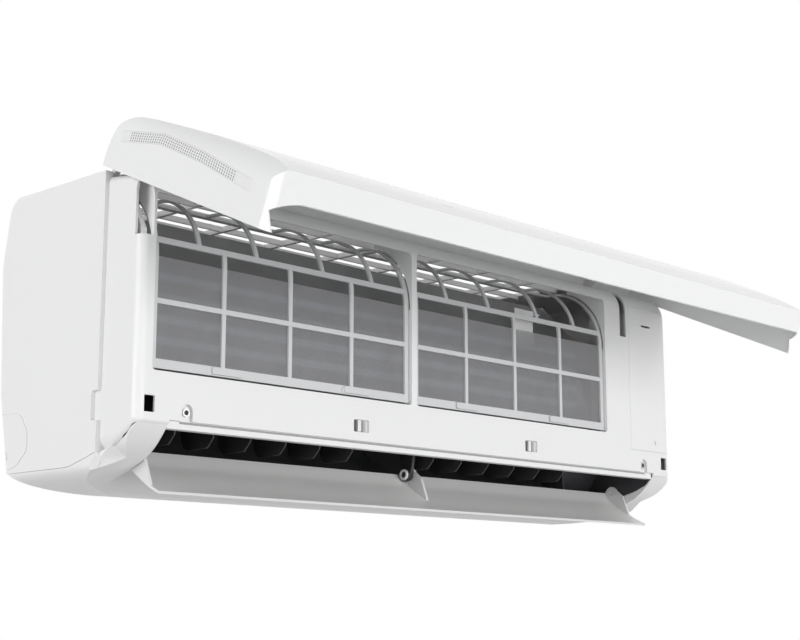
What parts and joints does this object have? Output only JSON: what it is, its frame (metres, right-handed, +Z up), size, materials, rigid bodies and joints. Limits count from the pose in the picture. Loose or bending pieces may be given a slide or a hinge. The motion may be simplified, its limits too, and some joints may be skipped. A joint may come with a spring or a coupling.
{
  "type": "mini split indoor unit",
  "caption": "Wall-mounted mini split indoor unit with its front panel swung up, curved filters in place and the air flap hanging open over the fan outlet",
  "frame": {"origin": "on the wall plane, midway along the unit and at the centre of the wall plate's screw pattern", "axes": "+X toward the viewer's right when facing the unit, +Y into the wall, +Z up"},
  "size_m": [0.855, 0.4382, 0.3535],
  "materials": {
    "white_shell": "smooth moulded white",
    "panel_white": "high gloss white",
    "trim_grey": "perforated strip",
    "window_dark": "infrared-clear dark window",
    "chassis_black": "moulded",
    "grille_white": "moulded",
    "filter_grey": "moulded frame",
    "filter_net": "fine woven net",
    "fins": "stacked fins with pale blue coating",
    "copper": "drawn copper",
    "galvanised": "zinc-coated sheet",
    "foam_dark": "insulated pan",
    "fan_black": "glass-filled moulding",
    "steel": "turned",
    "bearing_rubber": "moulded rubber",
    "motor_shell": "plain",
    "vane_black": "moulded",
    "link_black": "moulded",
    "white_small": "moulded",
    "flap_white": "smooth moulded white",
    "board_green": "lacquered board",
    "terminal_black": "moulded"
  },
  "bodies": {
    "chassis": {"bottom_cover": "white_shell", "casing_screws": "steel", "circuit_board": "board_green", "coil_end_plates": "galvanised", "coil_front": "fins", "coil_rear": "fins", "coil_return_bends": "copper", "coil_upper": "fins", "control_box": "white_small", "control_cover": "white_shell", "drain_pan": "foam_dark", "fan_bearing": "bearing_rubber", "fan_motor": "motor_shell", "flap_bush_left": "white_small", "flap_centre_bracket": "link_black", "flap_centre_bush": "white_small", "flap_motor": "white_small", "front_casing": "white_shell", "hinge_pins": "steel", "intake_grille": "grille_white", "latch_keepers": "white_small", "motor_clamp": "galvanised", "outlet_cap_left": "white_shell", "outlet_cap_right": "white_shell", "rear_chassis": "chassis_black", "refrigerant_pipes": "copper", "terminal_block": "terminal_black", "vane_motors": "white_small", "wall_plate": "galvanised"},
    "panel": {"front_panel": "panel_white", "panel_trims": "trim_grey", "sensor_window": "window_dark", "hinge_arm_left": "white_small", "hinge_arm_right": "white_small", "panel_latches": "white_small"},
    "filter_left": {"filter_frame_left": "filter_grey", "filter_mesh_left": "filter_net"},
    "filter_right": {"filter_frame_right": "filter_grey", "filter_mesh_right": "filter_net"},
    "fan": {"fan_wheel": "fan_black", "fan_shaft": "steel"},
    "flap": {"air_flap": "flap_white"},
    "link_left": {"vane_link_left": "link_black"},
    "link_right": {"vane_link_right": "link_black"},
    "crank_left": {"vane_crank_left": "link_black"},
    "crank_right": {"vane_crank_right": "link_black"},
    "vane_body_01": {"vane_01": "vane_black"},
    "vane_body_02": {"vane_02": "vane_black"},
    "vane_body_03": {"vane_03": "vane_black"},
    "vane_body_04": {"vane_04": "vane_black"},
    "vane_body_05": {"vane_05": "vane_black"},
    "vane_body_06": {"vane_06": "vane_black"},
    "vane_body_07": {"vane_07": "vane_black"},
    "vane_body_08": {"vane_08": "vane_black"},
    "vane_body_09": {"vane_09": "vane_black"},
    "vane_body_10": {"vane_10": "vane_black"},
    "vane_body_11": {"vane_11": "vane_black"},
    "vane_body_12": {"vane_12": "vane_black"}
  },
  "joints": [
    {"name": "panel_hinge", "type": "hinge", "parent": "chassis", "child": "panel", "pos_m": [0, -0.1735, 0.1373], "axis": [1, 0, 0], "range_deg": [-8, 65.8]},
    {"name": "filter_left_slide", "type": "slide", "parent": "chassis", "child": "filter_left", "axis": [0, 0.9438, 0.3304], "range_m": [-0.12, 0]},
    {"name": "filter_right_slide", "type": "slide", "parent": "chassis", "child": "filter_right", "axis": [0, 0.9438, 0.3304], "range_m": [-0.12, 0]},
    {"name": "fan_spin", "type": "hinge", "parent": "chassis", "child": "fan", "pos_m": [0, -0.118, -0.022], "axis": [1, 0, 0], "continuous": true},
    {"name": "flap_hinge", "type": "hinge", "parent": "chassis", "child": "flap", "pos_m": [0, -0.17, -0.124], "axis": [1, 0, 0], "range_deg": [-53, 15]},
    {"name": "vane_01_turn", "type": "hinge", "parent": "chassis", "child": "vane_body_01", "pos_m": [-0.347, -0.172, -0.09], "axis": [0, 0, 1], "range_deg": [-30, 30]},
    {"name": "vane_02_turn", "type": "hinge", "parent": "chassis", "child": "vane_body_02", "pos_m": [-0.3, -0.172, -0.09], "axis": [0, 0, 1], "range_deg": [-30, 30]},
    {"name": "vane_03_turn", "type": "hinge", "parent": "chassis", "child": "vane_body_03", "pos_m": [-0.253, -0.172, -0.09], "axis": [0, 0, 1], "range_deg": [-30, 30]},
    {"name": "vane_04_turn", "type": "hinge", "parent": "chassis", "child": "vane_body_04", "pos_m": [-0.206, -0.172, -0.09], "axis": [0, 0, 1], "range_deg": [-30, 30]},
    {"name": "vane_05_turn", "type": "hinge", "parent": "chassis", "child": "vane_body_05", "pos_m": [-0.159, -0.172, -0.09], "axis": [0, 0, 1], "range_deg": [-30, 30]},
    {"name": "vane_06_turn", "type": "hinge", "parent": "chassis", "child": "vane_body_06", "pos_m": [-0.112, -0.172, -0.09], "axis": [0, 0, 1], "range_deg": [-30, 30]},
    {"name": "vane_07_turn", "type": "hinge", "parent": "chassis", "child": "vane_body_07", "pos_m": [0.015, -0.172, -0.09], "axis": [0, 0, 1], "range_deg": [-30, 30]},
    {"name": "vane_08_turn", "type": "hinge", "parent": "chassis", "child": "vane_body_08", "pos_m": [0.062, -0.172, -0.09], "axis": [0, 0, 1], "range_deg": [-30, 30]},
    {"name": "vane_09_turn", "type": "hinge", "parent": "chassis", "child": "vane_body_09", "pos_m": [0.109, -0.172, -0.09], "axis": [0, 0, 1], "range_deg": [-30, 30]},
    {"name": "vane_10_turn", "type": "hinge", "parent": "chassis", "child": "vane_body_10", "pos_m": [0.156, -0.172, -0.09], "axis": [0, 0, 1], "range_deg": [-30, 30]},
    {"name": "vane_11_turn", "type": "hinge", "parent": "chassis", "child": "vane_body_11", "pos_m": [0.203, -0.172, -0.09], "axis": [0, 0, 1], "range_deg": [-30, 30]},
    {"name": "vane_12_turn", "type": "hinge", "parent": "chassis", "child": "vane_body_12", "pos_m": [0.25, -0.172, -0.09], "axis": [0, 0, 1], "range_deg": [-30, 30]},
    {"name": "crank_left_turn", "type": "hinge", "parent": "chassis", "child": "crank_left", "pos_m": [-0.3665, -0.172, -0.079], "axis": [0, 0, 1], "range_deg": [-30, 30]},
    {"name": "link_left_slide", "type": "slide", "parent": "chassis", "child": "link_left", "axis": [1, 0, 0], "range_m": [-0.011, 0.011]},
    {"name": "crank_right_turn", "type": "hinge", "parent": "chassis", "child": "crank_right", "pos_m": [-0.042, -0.172, -0.079], "axis": [0, 0, 1], "range_deg": [-30, 30]},
    {"name": "link_right_slide", "type": "slide", "parent": "chassis", "child": "link_right", "axis": [1, 0, 0], "range_m": [-0.011, 0.011]}
  ],
  "couplings": [
    {"joint": "vane_01_turn", "follows": "link_left_slide", "rad_per_m": -47.619},
    {"joint": "vane_02_turn", "follows": "link_left_slide", "rad_per_m": -47.619},
    {"joint": "vane_03_turn", "follows": "link_left_slide", "rad_per_m": -47.619},
    {"joint": "vane_04_turn", "follows": "link_left_slide", "rad_per_m": -47.619},
    {"joint": "vane_05_turn", "follows": "link_left_slide", "rad_per_m": -47.619},
    {"joint": "vane_06_turn", "follows": "link_left_slide", "rad_per_m": -47.619},
    {"joint": "vane_07_turn", "follows": "link_right_slide", "rad_per_m": -47.619},
    {"joint": "vane_08_turn", "follows": "link_right_slide", "rad_per_m": -47.619},
    {"joint": "vane_09_turn", "follows": "link_right_slide", "rad_per_m": -47.619},
    {"joint": "vane_10_turn", "follows": "link_right_slide", "rad_per_m": -47.619},
    {"joint": "vane_11_turn", "follows": "link_right_slide", "rad_per_m": -47.619},
    {"joint": "vane_12_turn", "follows": "link_right_slide", "rad_per_m": -47.619},
    {"joint": "crank_left_turn", "follows": "link_left_slide", "rad_per_m": -47.619},
    {"joint": "crank_right_turn", "follows": "link_right_slide", "rad_per_m": -47.619}
  ]
}
